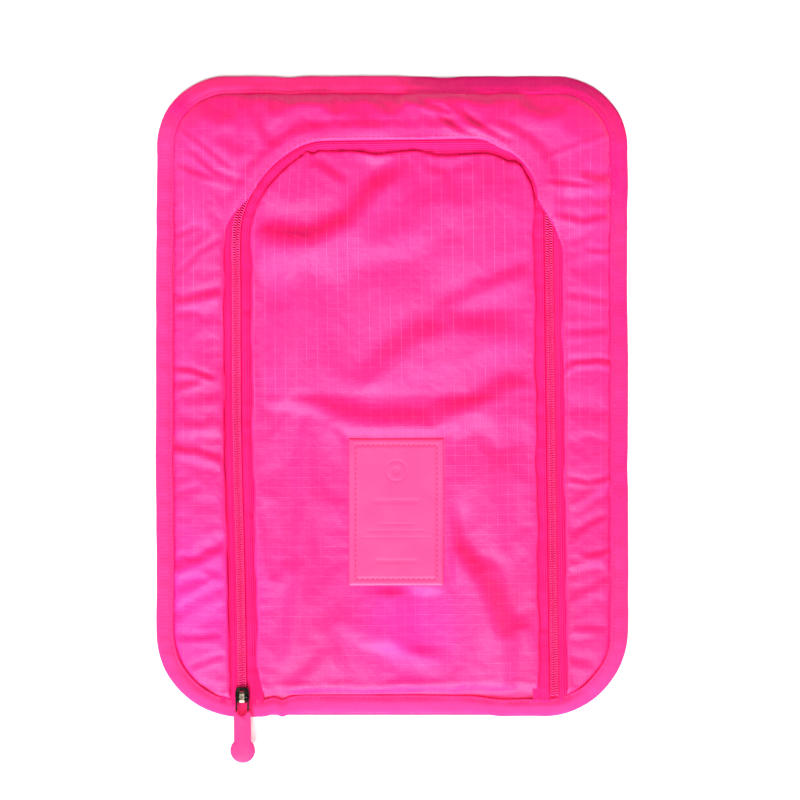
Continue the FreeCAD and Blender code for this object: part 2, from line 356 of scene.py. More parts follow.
def settle(obj, pinned, growth, bending):
    """Lets cloth buckle: it is cut larger than the room between its pins, and simulated until it rests."""
    mesh = obj.data
    count = len(mesh.vertices)
    start = np.zeros(count * 3, np.float32)
    mesh.vertices.foreach_get("co", start)
    mesh.vertices.foreach_set("co", start * SETTLE_SCALE)
    group = obj.vertex_groups.new(name="pins")
    for index in np.nonzero(pinned)[0]:
        group.add([int(index)], 1.0, "REPLACE")
    modifier = obj.modifiers.new("Cloth", "CLOTH")
    cloth = modifier.settings
    for setting, value in CLOTH_SETTINGS.items():
        setattr(cloth, setting, value)
    cloth.bending_stiffness = bending
    cloth.shrink_min = -growth
    cloth.effector_weights.gravity = 0.0
    modifier.collision_settings.use_collision = False
    modifier.point_cache.frame_end = SETTLE_FRAMES
    for number in range(1, SETTLE_FRAMES + 1):
        bpy.context.scene.frame_set(number)
    graph = bpy.context.evaluated_depsgraph_get()
    result = obj.evaluated_get(graph).to_mesh()
    after = np.zeros(count * 3, np.float32)
    result.vertices.foreach_get("co", after)
    obj.evaluated_get(graph).to_mesh_clear()
    obj.modifiers.clear()
    obj.vertex_groups.clear()
    moved = (after / SETTLE_SCALE - start).reshape(-1, 3)
    far = np.linalg.norm(moved, axis=1) / (LONGEST_MOVE * MM)
    moved /= np.maximum(far, 1.0)[:, None]
    mesh.vertices.foreach_set("co", start + moved.ravel())
    mesh.update()
    bpy.context.scene.frame_set(1)


def heights_on(obj, xy, otherwise):
    """The height in millimetres of an object's surface under each place, or otherwise where it has none."""
    points = [v.co.copy() for v in obj.data.vertices]
    tree = BVHTree.FromPolygons(points, [list(p.vertices) for p in obj.data.polygons])
    above, down = 0.2, Vector((0, 0, -1))
    out = []
    for (x, y), z in zip(xy, np.broadcast_to(otherwise, len(xy))):
        hit = tree.ray_cast(Vector((x * MM, y * MM, above)), down)[0]
        out.append(hit.z / MM if hit else z)
    return out


def threads(name, obj, xy, otherwise, up, pitch, length, radius, lift):
    """A row of separate stitches on an object's surface. Each is a short thread that dips in at both ends."""
    line = np.column_stack([xy, heights_on(obj, xy, otherwise)])
    along = distances(line)
    up = np.array(up)
    rings, sides, nearby = 6, 6, 0.3
    points, faces, uvs = [], [], []
    for start in np.arange(0.0, along[-1] - length, pitch):
        base = len(points)
        for i in range(rings):
            t = i / (rings - 1)
            at = start + t * length
            run = read_along(at + nearby, along, line) - read_along(at - nearby, along, line)
            run /= max(np.linalg.norm(run), 1e-9)
            cross = np.cross(run, up)
            cross /= max(np.linalg.norm(cross), 1e-9)
            swell = math.sin(math.pi * t)
            thick = radius * (0.35 + 0.65 * math.sqrt(max(swell, 0.0)))
            middle = read_along(at, along, line) + up * (lift * swell - 0.6 * radius)
            for j in range(sides):
                a = 2 * math.pi * j / sides
                points.append(middle + cross * thick * math.cos(a) + up * thick * math.sin(a))
                uvs.append((j * radius, at))
        faces += [[base + i for i in face] for face in tube_faces(rings, sides)]
    return new_mesh(name, points, faces, uvs)


# ---- materials ----


def material(name, colour, roughness, sheen=0.0, specular=0.5, metallic=0.0):
    mat = bpy.data.materials.new(name)
    mat.use_nodes = True
    values = {
        "Base Color": (*colour, 1.0),
        "Roughness": roughness,
        "Specular IOR Level": specular,
        "Metallic": metallic,
        "Sheen Weight": sheen,
        "Sheen Roughness": 0.4,
        "Sheen Tint": (1.0, 0.35, 0.7, 1.0),
    }
    for name, value in values.items():
        mat.node_tree.nodes["Principled BSDF"].inputs[name].default_value = value
    return mat


class Nodes:
    """Short ways to add nodes to a material or a world."""

    def __init__(self, owner):
        self.tree = owner.node_tree
        self.shader = self.tree.nodes.get("Principled BSDF")

    def new(self, kind):
        return self.tree.nodes.new("ShaderNode" + kind)

    def link(self, value, socket):
        if hasattr(value, "is_output"):
            self.tree.links.new(value, socket)
        else:
            socket.default_value = value

    def maths(self, operation, *values):
        node = self.new("Math")
        node.operation = operation
        for value, socket in zip(values, node.inputs):
            self.link(value, socket)
        return node.outputs[0]

    def times(self, a, b):
        return self.maths("MULTIPLY", a, b)

    def plus(self, total, *others):
        for other in others:
            total = self.maths("ADD", total, other)
        return total

    def spot(self, place, centre, reach):
        """1 at the centre, fading to 0 beyond its reach."""
        away = [self.maths("SUBTRACT", here, there) for here, there in zip(place, centre)]
        squared = self.plus(*[self.times(one, one) for one in away])
        return self.maths("EXPONENT", self.maths("DIVIDE", squared, -reach * reach))

    def millimetres(self, metres):
        """x and y of a place."""
        split = self.new("SeparateXYZ")
        self.link(metres, split.inputs[0])
        return [self.maths("DIVIDE", split.outputs[k], MM) for k in range(2)]

    def bag_place(self):
        """The place on the bag at rest, in millimetres."""
        return self.millimetres(self.new("TexCoord").outputs["Object"])

    def cut_place(self):
        """The place on the flat cut, in millimetres, from the UV map."""
        uv = self.new("UVMap")
        uv.uv_map = "cut"
        return self.millimetres(uv.outputs[0])

    def noise(self, scale, detail=2.0):
        node = self.new("TexNoise")
        node.inputs["Scale"].default_value = scale
        node.inputs["Detail"].default_value = detail
        self.link(self.new("TexCoord").outputs["Object"], node.inputs["Vector"])
        return node.outputs["Fac"]

    def line(self, place, pitch, width):
        """1 on thin lines a pitch apart, and 0 between them."""
        edge = self.maths("DIVIDE", self.maths("PINGPONG", place, pitch / 2), width / 2)
        return self.maths("SUBTRACT", 1.0, self.maths("MINIMUM", edge, 1.0))

    def wave(self, place, pitch):
        return self.maths("SINE", self.times(place, 2 * math.pi / pitch))

    def ramp(self, value, low, high, from_low=0.0, from_high=1.0):
        """From low to high, as the value goes from from_low to from_high."""
        node = self.new("MapRange")
        names = ("Value", "From Min", "From Max", "To Min", "To Max")
        for name, number in zip(names, (value, from_low, from_high, low, high)):
            self.link(number, node.inputs[name])
        return node.outputs["Result"]

    def mix(self, fac, a, b):
        node = self.new("Mix")
        node.data_type = "RGBA"
        self.link(fac, node.inputs[0])
        for value, socket in ((a, node.inputs[6]), (b, node.inputs[7])):
            self.link((*value, 1.0) if isinstance(value, tuple) else value, socket)
        return node.outputs[2]

    def bump(self, height_mm, strength=1.0):
        node = self.new("Bump")
        node.inputs["Strength"].default_value = strength
        node.inputs["Distance"].default_value = MM
        self.link(height_mm, node.inputs["Height"])
        self.link(node.outputs[0], self.shader.inputs["Normal"])

    def colour(self, value):
        self.link(value, self.shader.inputs["Base Color"])

    def roughness(self, value):
        self.link(value, self.shader.inputs["Roughness"])


PINK = (0.92, 0.004, 0.158)
DEEP_PINK = (0.88, 0.001, 0.130)
PALE_PINK = (0.95, 0.06, 0.26)
TAPE_PINK = (0.90, 0.007, 0.15)
DARK_TAPE_PINK = (0.78, 0.0, 0.105)
MAGENTA = (0.92, 0.005, 0.24)
PAINTED_SHADE_PINK = (0.76, 0.0, 0.15)
PAINTED_COIL_SHADOW = (0.6, 0.0, 0.07)

# Places on the bag, each a centre and a reach: where the cloth leans to magenta, and where the bound edge's
# tape is painted darker as painted shade, mostly on its top right and right side that face away from the
# light
MAGENTA_PLACES = [((-100.0, -104.0), 36.0), ((8.0, -116.0), 28.0)]
PAINTED_SHADE_PLACES = [
    ((52.0, 162.0), 30.0), ((92.0, 152.0), 30.0), ((116.0, 112.0), 24.0), ((135.0, 45.0), 32.0),
    ((145.0, -40.0), 44.0), ((-108.0, 148.0), 7.0),
]


def ripstop_material(name):
    """Fine plain weave with a thicker yarn every few millimetres each way, and uneven dye and sheen."""
    mat = material(name, PINK, 0.5, sheen=0.02, specular=0.35)
    n = Nodes(mat)
    x, y = n.cut_place()
    # The thicker yarns are painted paler, a painted sheen on the raised yarns: the upright yarns show most
    # over the middle of the bag, and the level ones low down
    up_lines = n.times(n.line(x, RIPSTOP_PITCH, 0.62), n.ramp(y, 0.45, 1.2, -40.0, 40.0))
    up_lines = n.times(up_lines, n.ramp(y, 1.0, 0.35, 112.0, 134.0))
    level_lines = n.times(n.line(y, RIPSTOP_ROW, 0.62), n.ramp(y, 0.5, 0.22, -40.0, 40.0))
    grid = n.plus(up_lines, level_lines)
    fine = n.maths("MAXIMUM", n.line(x, RIPSTOP_PITCH / 4, 0.45), n.line(y, RIPSTOP_ROW / 4, 0.45))
    weave = n.times(n.wave(x, 0.42), n.wave(y, 0.42))
    crumple = n.times(n.noise(240.0, 3.0), 0.4)
    n.bump(n.plus(n.times(grid, 0.08), n.times(fine, 0.03), n.times(weave, 0.015), crumple), 0.8)
    dye = n.ramp(n.noise(26.0, 3.0), 0.0, 0.55, 0.35, 0.65)
    # The cloth also turns a darker pink towards the foot of the bag.
    base = n.mix(n.plus(dye, n.ramp(y, 0.5, 0.0, -120.0, 10.0)), PINK, DEEP_PINK)
    for centre, reach in MAGENTA_PLACES:
        base = n.mix(n.times(n.spot((x, y), centre, reach), 0.85), base, MAGENTA)
    # Painted sheen: the raised yarns are mixed towards pale pink, more in some patches than others.
    wear_and_sheen = n.ramp(n.noise(38.0), 0.3, 1.0, 0.4, 0.62)
    raised = n.times(n.plus(grid, n.times(fine, 0.35)), 0.62)
    n.colour(n.mix(n.times(raised, wear_and_sheen), base, PALE_PINK))
    n.roughness(n.ramp(n.noise(60.0), 0.46, 0.6))
    return mat


def tape_material(name, light, deep, rib, across=0.55, painted_shade=False, zipped=False):
    """Close ribbed weave of a folded edge tape, a seam tape or a zip tape."""
    mat = material(name, light, 0.6, specular=0.16)
    n = Nodes(mat)
    x, y = n.cut_place()
    ribs = n.wave(y, rib)
    yarns = n.wave(n.plus(x, n.times(n.wave(y, rib * 2), 0.12)), across)
    fuzz = n.times(n.noise(400.0, 3.0), 0.22)
    n.bump(n.plus(n.times(ribs, 0.05), n.times(yarns, 0.14 if zipped else 0.05), fuzz), 0.8)
    woven = n.ramp(n.plus(ribs, n.times(yarns, 1.6)), 0.0, 0.5, -2.6, 2.6)
    dye = n.ramp(n.noise(30.0, 3.0), 0.0, 0.45, 0.35, 0.65)
    colour = n.mix(n.plus(woven, dye), light, deep)
    # Painted shade: at these places the tape's colour is mixed towards a darker pink, where the bound edge
    # faces away from the light.
    if painted_shade:
        on_bag = n.bag_place()
        for centre, reach in PAINTED_SHADE_PLACES:
            colour = n.mix(n.times(n.spot(on_bag, centre, reach), 0.8), colour, PAINTED_SHADE_PINK)
    # Painted shadow: the zip tape is darkened in its middle, under the coil.
    if zipped:
        colour = n.mix(n.ramp(n.maths("ABSOLUTE", x), 0.9, 0.0, 2.3, 2.8), colour, PAINTED_COIL_SHADOW)
    n.colour(colour)
    return mat


def thread_material(name, colour, dark):
    """Two-ply sewing thread: a fine twist along each stitch."""
    mat = material(name, colour, 0.45, sheen=0.05, specular=0.4)
    n = Nodes(mat)
    twist = n.wave(n.plus(*n.cut_place()), 0.5)
    n.bump(n.times(twist, 0.05))
    n.colour(n.mix(n.ramp(twist, 0.0, 0.6, -1.0, 1.0), colour, dark))
    return mat


def skin_material(name, light, deep, roughness, specular, grain, patches, swell=0.0, gloss=None):
    """A plain smooth skin. Its grain is a scale, a detail and a depth, and slow patches change its colour.

    The patches can swell too, and gloss is its lowest and highest roughness, which follow the grain.
    """
    mat = material(name, light, roughness, specular=specular)
    n = Nodes(mat)
    scale, detail, depth = grain
    fine, slow = n.noise(scale, detail), n.noise(patches)
    height = n.times(fine, depth)
    n.bump(n.plus(height, n.times(slow, swell)) if swell else height, 0.5)
    n.colour(n.mix(n.ramp(slow, 0.0, 1.0, 0.35, 0.65), light, deep))
    if gloss:
        n.roughness(n.ramp(fine, *gloss, 0.3, 0.7))
    return mat


def metal_material(name, colour, wear_and_sheen, roughness):
    """Plated metal, brighter where the plating is rubbed."""
    mat = material(name, colour, roughness, metallic=1.0)
    n = Nodes(mat)
    rub = n.ramp(n.noise(420.0, 4.0), 0.0, 1.0, 0.5, 0.75)
    n.colour(n.mix(rub, colour, wear_and_sheen))
    n.roughness(n.ramp(n.noise(900.0, 3.0), roughness - 0.08, roughness + 0.12, 0.3, 0.7))
    n.bump(n.times(n.noise(1800.0), 0.02), 0.6)
    return mat


RIPSTOP = ripstop_material("ripstop_nylon")
BINDING = tape_material("edge_tape_weave", (0.92, 0.024, 0.18), (0.90, 0.015, 0.16), rib=0.7, painted_shade=True)
SEAM_TAPE = tape_material("seam_tape_weave", PINK, DEEP_PINK, rib=0.8)
ZIP_TAPE = tape_material("zip_tape_weave", TAPE_PINK, DARK_TAPE_PINK, rib=0.6, across=1.1, zipped=True)
THREAD = thread_material("sewing_thread", (0.80, 0.002, 0.115), (0.64, 0.0, 0.08))
# Polyester monofilament, slightly waxy; a coated patch with a leather-like grain; satin moulded rubber
COIL = skin_material(
    "coil_filament", (0.95, 0.03, 0.25), (0.90, 0.016, 0.20), 0.4, 0.35, (900.0, 2.0, 0.03), 120.0
)
LABEL = skin_material(
    "label_coating", (0.9, 0.042, 0.176), (0.9, 0.034, 0.164), 0.45, 0.3, (2600.0, 3.0, 0.03), 70.0,
    swell=0.25, gloss=(0.36, 0.5),
)
RUBBER = skin_material(
    "pull_rubber_skin", (0.9, 0.02, 0.158), (0.9, 0.013, 0.145), 0.45, 0.3, (1500.0, 3.0, 0.05), 150.0,
    gloss=(0.38, 0.55),
)
SLIDER_METAL = metal_material("slider_plating", (0.02, 0.016, 0.013), (0.10, 0.075, 0.05), 0.2)
# The bail is a lighter copy of the slider's black metal: a painted highlight where the slider's crown catches
# the light.
BAIL_HIGHLIGHT_METAL = metal_material("bail_painted_highlight", (0.30, 0.24, 0.18), (0.6, 0.5, 0.4), 0.2)
SPRING_METAL = metal_material("spring_steel_sheet", (0.3, 0.26, 0.22), (0.5, 0.45, 0.4), 0.3)
WIRE_METAL = metal_material("wire_coating", (0.016, 0.014, 0.016), (0.06, 0.05, 0.05), 0.3)


# ---- folds ----

# The way that the dark side of a fold falls: away from the main light
FALL = np.array([0.22, 0.975])


def fold(x, y, height, widths, points, kind="slope"):
    """One fold of cloth along a line of points, fading at both ends. It has one width, or a first and a last.

    A "slope" falls towards FALL across the line, or climbs where its height is negative, and levels out past
    its width. A "ridge" is round and a "crease" is sharp: both stand up, or sink where height is negative.
    """
    p = np.array(points, float)
    total = np.linalg.norm(np.diff(p, axis=0), axis=1).sum()
    best = np.full(np.shape(x), 1e9)
    off = np.zeros(np.shape(x))
    along = np.zeros(np.shape(x))
    done = 0.0
    for a, b in zip(p[:-1], p[1:]):
        length = np.linalg.norm(b - a)
        run = (b - a) / length
        across = np.array([-run[1], run[0]])
        if across @ FALL < 0:
            across = -across
        t = np.clip((x - a[0]) * run[0] + (y - a[1]) * run[1], 0, length)
        distance = np.hypot(x - a[0] - t * run[0], y - a[1] - t * run[1])
        side = (x - a[0]) * across[0] + (y - a[1]) * across[1]
        near = distance < best
        best = np.where(near, distance, best)
        off = np.where(near, np.sign(side) * distance, off)
        along = np.where(near, (done + t) / total, along)
        done += length
    first, last = np.broadcast_to(widths, 2)
    width = first + (last - first) * along
    fade = smooth(along / 0.18) * smooth((1 - along) / 0.18)
    if kind == "slope":
        return -height * fade * (off / width) * np.exp(0.5 - (off / width) ** 2 / 2)
    if kind == "ridge":
        return height * fade * np.exp(-((best / width) ** 2))
    return height * fade * np.exp(-best / width)


def folded(x, y, folds):
    return sum(fold(x, y, *one) for one in folds)


# Each is a height, its widths, its points and, unless it is a slope, its kind
PANEL_FOLDS = [
    (2.5, (7.5, 5.5), [(-76, 84), (-40, 84), (-22, 92), (-8, 107), (8, 121)]),
    (0.7, 2.6, [(-42, 121), (-33, 117), (-20, 108)]),
    (1.7, (7.0, 7.5), [(-24, 0), (-4, 20), (12, 33), (32, 38), (70, 36)]),
    (0.9, (5.5, 4.0), [(18, 44), (48, 56), (76, 67)]),
    (1.6, (8.5, 4.5), [(-44, -9), (18, -9), (42, -1), (60, 6), (78, 7)]),
    (-0.6, 2.6, [(-80, 2), (-10, 1), (82, 0)], "crease"),
    (0.8, 4.0, [(-72, -52), (-66, -70), (-64, -94)]),
    (2.5, (5.5, 8.0), [(26, -52), (32, -74), (44, -90), (52, -105), (63, -128)]),
    (2.2, 8.0, [(8, -92), (4, -132)]),
    (0.9, 4.5, [(61, -118), (58, -158)]),
    (0.9, (4.5, 5.5), [(-64, -156), (-30, -124)]),
    (-1.0, (8.5, 9.5), [(-76, 62), (-38, 66), (34, 77)]),
    (-0.6, (4.5, 5.0), [(4, 9), (40, 16), (76, 26)]),
    (-0.7, (6.5, 7.5), [(18, -18), (76, -17)]),
    (-0.9, (4.0, 4.5), [(-46, 2), (-49, -80), (-60, -144)]),
    (-0.8, 6.0, [(68, -42), (60, -140)]),
    (-1.0, 9.0, [(-58, -12), (-58, 82)]),
    (-0.6, (5.0, 6.0), [(-36, -116), (26, -140)]),
    (0.6, 3.0, [(16, 117), (30, 113), (46, 118)]),
    (0.5, 6.0, [(-28, 60), (8, 66), (42, 84)]),
    (0.7, 1.8, [(-60, -146), (-20, -148), (54, -145)], "ridge"),
]

BORDER_FOLDS = [
    # Left strip, from the top down
    (0.8, 1.3, [(-110, 138), (-96, 127), (-80, 114)]),
    (0.7, (1.4, 1.2), [(-105, 127), (-91, 114), (-72, 107)]),
    (0.7, (1.6, 1.3), [(-114, 119), (-93, 111), (-74, 106)]),
    (1.3, 4.0, [(-99, 147), (-88, 142), (-78, 143)]),
    (0.9, 3.5, [(-90, 132), (-82, 127), (-74, 122)]),
    (0.8, 3.0, [(-71, 146), (-67, 136), (-60, 126)]),
    (0.6, 1.5, [(-112, 80), (-98, 86)]),
    (0.6, 1.5, [(-110, 60), (-97, 73), (-82, 82)]),
    (1.6, (3.2, 2.2), [(-116, 48), (-100, 50), (-80, 55)]),
    (0.7, 2.5, [(-116, 41), (-96, 42)]),
    (1.5, (1.6, 1.4), [(-117, 14), (-102, 13), (-88, 8)]),
    (1.2, (2.4, 1.6), [(-117, 3), (-104, 6), (-96, 8)]),
    (0.9, (3.2, 3.0), [(-108, -3), (-92, -1), (-82, 0)]),
    (-1.5, 2.8, [(-118, -20), (-80, -18)]),
    (1.6, (2.2, 2.6), [(-118, -26), (-100, -28), (-80, -33)]),
    (-0.6, 2.0, [(-114, -49), (-96, -43)]),
    (1.7, (3.4, 3.0), [(-118, -90), (-98, -83), (-80, -73)]),
    (-1.1, 3.0, [(-116, -110), (-100, -101), (-84, -92)]),
    (0.6, 2.0, [(-112, -124), (-86, -122)]),
    (0.7, 1.6, [(-104, -139), (-84, -132)]),
    (1.3, 2.6, [(-99, -150), (-84, -153)]),
    # Along the top
    (-1.0, 4.0, [(-66, 136), (-46, 144), (-28, 140)]),
    (0.8, 4.5, [(-38, 146), (-14, 143), (8, 144)]),
    (1.4, (1.4, 1.2), [(4, 152), (18, 147), (32, 143)]),
    (1.5, (1.3, 1.5), [(22, 143), (32, 136), (44, 130)]),
    (0.9, 1.4, [(24, 151), (33, 142), (42, 131)], "ridge"),
    (1.7, (1.6, 1.3), [(32, 147), (42, 138), (62, 127)]),
    (1.6, (5.0, 4.0), [(62, 150), (76, 144), (90, 146)]),
    (1.0, (1.5, 1.3), [(76, 120), (95, 127), (114, 134)], "ridge"),
    # Right strip, from the top down
    (1.5, 2.6, [(94, 113), (104, 111), (118, 111)]),
    (1.0, 1.1, [(77, 109), (90, 108), (104, 106)]),
    (-1.0, 2.2, [(80, 103), (118, 103)]),
    (0.9, 2.0, [(79, 93), (97, 89), (118, 93)]),
    (0.8, 1.4, [(97, 74), (118, 73)]),
    (0.5, 2.0, [(84, 52), (116, 47)]),
    (0.5, 2.0, [(84, 31), (116, 34)]),
    (1.6, (1.3, 1.6), [(83, 10), (92, 17), (105, 18), (118, 15)]),
    (0.6, 5.0, [(84, -10), (118, -12)]),
    (1.0, 1.2, [(84, -41), (100, -44), (118, -40)]),
    (-1.2, 2.4, [(90, -60), (104, -50), (116, -43)]),
    (1.0, 2.2, [(90, -73), (100, -65), (110, -60)]),
    (0.9, 1.4, [(96, -82), (118, -77)]),
    (-1.0, 2.0, [(84, -90), (98, -87), (110, -84)]),
    (0.8, 3.0, [(86, -104), (100, -98), (114, -92)]),
    (-0.6, 2.0, [(86, -123), (104, -121)]),
    (0.7, 2.4, [(86, -134), (104, -137)]),
]


# ---- the label's place ----

LABEL_X = 2.2
LABEL_Y = -58.7
LABEL_HALF_X = 24.0
LABEL_HALF_Y = 37.3


def beside_label(x, y):
    """How far a place is outside the label; negative inside it."""
    return np.maximum(np.abs(x - LABEL_X) - LABEL_HALF_X, np.abs(y - LABEL_Y) - LABEL_HALF_Y)


# ---- the cloth pieces ----


def panel_inset(x, y):
    """How far the flap's edge is inside the zip's line: it pulls in along the top, more to the right."""
    top = smooth((y - 100.0) / 12.0)
    dip = 1.7 * bell(x, -7.0, 8.0)
    right = 2.8 * smooth((x - 12.0) / 14.0) * smooth((68.0 - x) / 12.0)
    gathers = 0.9 * bell(x, 61.0, 2.4) + bell(x, 69.5, 2.0)
    gathers = gathers - 1.2 * bell(x, -43.0, 2.2) + 0.9 * bell(x, -39.0, 1.8)
    wander = 0.35 * np.sin(y / 9.0 + x / 13.0) + 0.25 * np.sin(y / 3.7 - x / 5.0)
    foot = 3.2 * smooth((-134.0 - y) / 20.0) * (x < 0)
    return PANEL_EDGE + top * (dip + right + gathers) + wander + foot


def panel_height(y, inside):
    """Height over the zip plane of the flap's cloth: turned under at its edge, and puffed inside it."""
    foot = y + 157.5
    roll = 1.25 * rolled(inside, 1.4) * smooth(foot / 5.0)
    puff = smooth((inside + 1.0) / 30.0) * 2.7 * smooth(foot / 34.0)
    return 0.6 + roll + puff


def panel_row(extra, low_y, step):
    """A line along the flap's edge, the given distance inside it."""
    line = arch_line(-PANEL_EDGE, low_y, step)
    return line - outward(line) * (panel_inset(line[:, 0], line[:, 1]) - PANEL_EDGE + extra)[:, None]


def panel_cloth():
    top = panel_row(0.0, CLOTH_FOOT, 1.5)
    foot = spaced([top[-1], top[0]], 1.5)[1:-1]
    rows = [panel_row(extra, CLOTH_FOOT + 2.0, 1.5) for extra in (0.25, 0.7, 1.4, 2.6)]
    flat, faces = cut_cloth(np.vstack([top, foot]), 2.0, rows)
    x, y = flat[:, 0], flat[:, 1]
    inside = np.maximum(-arch_distance(x, y) - panel_inset(x, y), 0.0)
    clear = smooth((beside_label(x, y) - 0.8) / 5.0)
    free = smooth(inside / 6.0) * smooth((y + 158.0) / 12.0) * clear
    waves = ripple(flat, (34.0, 44.0), 3) * 0.5 + ripple(flat, (9.0, 15.0), 5) * 0.1
    bunched = ripple(flat, (10.0, 2.6), 11) * 0.55 * smooth((-139.0 - y) / 8.0) * smooth((y + 160.0) / 3.0)
    pucker = ripple(flat, (2.6, 2.6), 13) * 0.3 * bell(inside, 2.2, 1.6) * clear
    height = panel_height(y, inside) + (folded(x, y, PANEL_FOLDS) + waves) * free + bunched * clear + pucker
    points = place(np.stack([x, y, height], axis=1))
    foot_drop = smooth((-146.5 - y) / 6.0)
    points[:, 2] = points[:, 2] * (1 - foot_drop) + (2.1 + 0.5 * bunched) * foot_drop
    obj = new_mesh("panel_cloth", points, faces, flat)
    pinned = (inside < 2.0) | (y < -154.0) | (beside_label(x, y) < 1.0)
    settle(obj, pinned, growth=0.0035, bending=10.0)
    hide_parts("front_panel", "panel_foot")
    return finish_piece(obj, RIPSTOP)


def covering(x, y):
    """How much of the zip the border lies over, from 0 to 1, and how far its edge moves in for that."""
    over = smooth((y - 80.0 + 8.0 * (x > 0)) / 30.0)
    corner = smooth((x - 42.0) / 22.0) * smooth((y - 84.0) / 18.0)
    return over, (BORDER_EDGE + BORDER_COVER) * over + 3.4 * corner


def border_inner(extra, low_y, step):
    """The border's edge, or a line outside it: beside the zip on its legs, and over it along the top."""
    line = arch_line(BORDER_EDGE, low_y, step)
    over, move = covering(line[:, 0], line[:, 1])
    move = move - extra
    wander = 0.4 * np.sin(line[:, 1] / 11.0 + line[:, 0] / 17.0) + 0.25 * np.sin(line[:, 1] / 4.1)
    return line - outward(line) * (move + wander * (1 - over))[:, None]


def to_bag(xy):
    """A flat, upright line where it lies on the bag."""
    return place(np.column_stack([xy, np.zeros(len(xy))]))[:, :2]


def leaning(x, y):
    """How far the bound edge leans outwards, from 0 to 1: most round the top right."""
    top_right = 1.15 * smooth((x + 12.0) / 36.0) * smooth((y - 84.0) / 30.0)
    right = 0.7 * smooth((x - 90.0) / 20.0)
    top_left = 0.4 * smooth((y - 110.0) / 30.0)
    return np.clip(0.1 + np.maximum(np.maximum(top_right, right), top_left), 0.0, 1.0)


def binding_rise(inwards, lean):
    """How much higher the bound edge stands, this far in from its outline, for its lean."""
    return 1 - lean + lean * (0.15 + 1.95 * np.minimum(inwards, BINDING_DEPTH) / BINDING_DEPTH)


def border_cloth():
    step = 1.7
    inner = to_bag(border_inner(0.0, CLOTH_FOOT, step))
    outer = bag_line(2.4, step)
    left, right = inner[0], inner[-1]
    around = outer[~((outer[:, 0] > left[0] - 1) & (outer[:, 0] < right[0] + 1) & (outer[:, 1] < 0))]
    start = int(np.argmin(np.linalg.norm(around - [right[0], -161.8], axis=1)))
    around = np.roll(around, -start, axis=0)
    rows = [to_bag(border_inner(extra, CLOTH_FOOT + 3.0, step)) for extra in (0.35, 0.9, 1.7, 2.8)]
    for inset in (8.0, 9.0, 9.7, 10.6, 11.8):
        ring = bag_line(inset, step)
        spans_zip = (ring[:, 1] < -100) & (ring[:, 0] > left[0] - 2.5) & (ring[:, 0] < right[0] + 2.5)
        rows.append(ring[~spans_zip])
    flat, faces = cut_cloth(np.vstack([inner, around]), step, rows)
    x, y = flat[:, 0], flat[:, 1]
    u, v = upright(x, y)
    over, move = covering(u, v)
    zip_off = arch_distance(u, v)
    from_zip = np.maximum(zip_off - BORDER_EDGE + move, 0.0)
    edge_in = outline_distance(x, y)
    lean = leaning(x, y)
    lifted = 1.3 * smooth((18.0 - y) / 20.0) * smooth((y + 142.0) / 16.0) * (x < 0)
    inner_height = plane_z(y) + 0.6 + 2.2 * over * smooth((8.5 - zip_off) / 6.0)
    inner_height = inner_height + (0.9 + lifted) * rolled(from_zip, 1.5)
    outer_height = 2.9 * binding_rise(edge_in, lean) - 1.1
    t = np.clip((edge_in - 8.0) / (np.maximum(edge_in - 8.0, 0) + from_zip + 1e-6), 0, 1)
    climb = 1 - (1 - t) ** (1.35 + 2.6 * over)
    height = outer_height + (inner_height - outer_height) * climb + np.sin(math.pi * t) * 1.1
    groove = 1.1 * bell(edge_in, 9.7, 0.8)
    free = smooth((edge_in - 8.6) / 3.0) * smooth((from_zip - 0.4) / 3.0)
    waves = ripple(flat, (30.0, 16.0), 7) * 0.7 + ripple(flat, (11.0, 5.5), 9) * 0.12
    height = height + (0.6 * folded(x, y, BORDER_FOLDS) + waves) * free - groove
    room = outer_height + 7.0 * smooth((edge_in - 8.5) / 7.0) + np.maximum(edge_in - 13.0, 0.0)
    height = np.maximum(np.minimum(height, room), 0.7)
    obj = new_mesh("border_cloth", np.stack([x, y, height], axis=1), faces, flat)
    pinned = (edge_in < 9.9) | (from_zip < 2.0 + 5.5 * over) | (y < -153)
    settle(obj, pinned, growth=0.007, bending=4.0)
    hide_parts("front_surround")
    return finish_piece(obj, RIPSTOP)


def back_cloth():
    flat, faces = cut_cloth(bag_line(1.6, 4.0), 4.0)
    x, y = flat[:, 0], flat[:, 1]
    inside = outline_distance(x, y)
    height = 0.35 + 0.55 * smooth((9.0 - inside) / 3.0)
    height = height + np.abs(ripple(flat, (34.0, 28.0), 21)) * 0.6 * smooth((inside - 12.0) / 12.0)
    obj = new_mesh("back_cloth", np.stack([x, y, height], axis=1), faces, flat)
    thicken(obj, CLOTH_THICKNESS, 0.0)
    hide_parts("back_panel")
    return finish_piece(obj, RIPSTOP)


# ---- the bound edge ----


def edge_shift(line):
    """How far the sewn edge stands in from its outline, as it puckers; most along the middle of the foot."""
    x, y = line[:, 0], line[:, 1]
    foot = (y < -120) * smooth((62 - np.abs(x + 4)) / 22.0) * 2.4
    notch = (y < -120) * (bell(x, -60.5, 2.8) * 0.9 - bell(x, -55.5, 2.4) * 1.1)
    pinch = (y > 120) * (bell(x, -53.0, 6.0) + bell(x, 27.5, 6.0)) * 0.7
    drift = (1 + ripple(line, (46.0, 46.0), 31)) * 0.55 + (1 + ripple(line, (13.0, 13.0), 33)) * 0.25
    return foot + notch + pinch + drift


def binding_rail():
    """Outer line of the bound edge with its puckers, and the way inwards at each point."""
    line = bag_line(0.0, BINDING_STEP)
    inwards = outward(line, closed=True)
    return line + inwards * edge_shift(line)[:, None], inwards


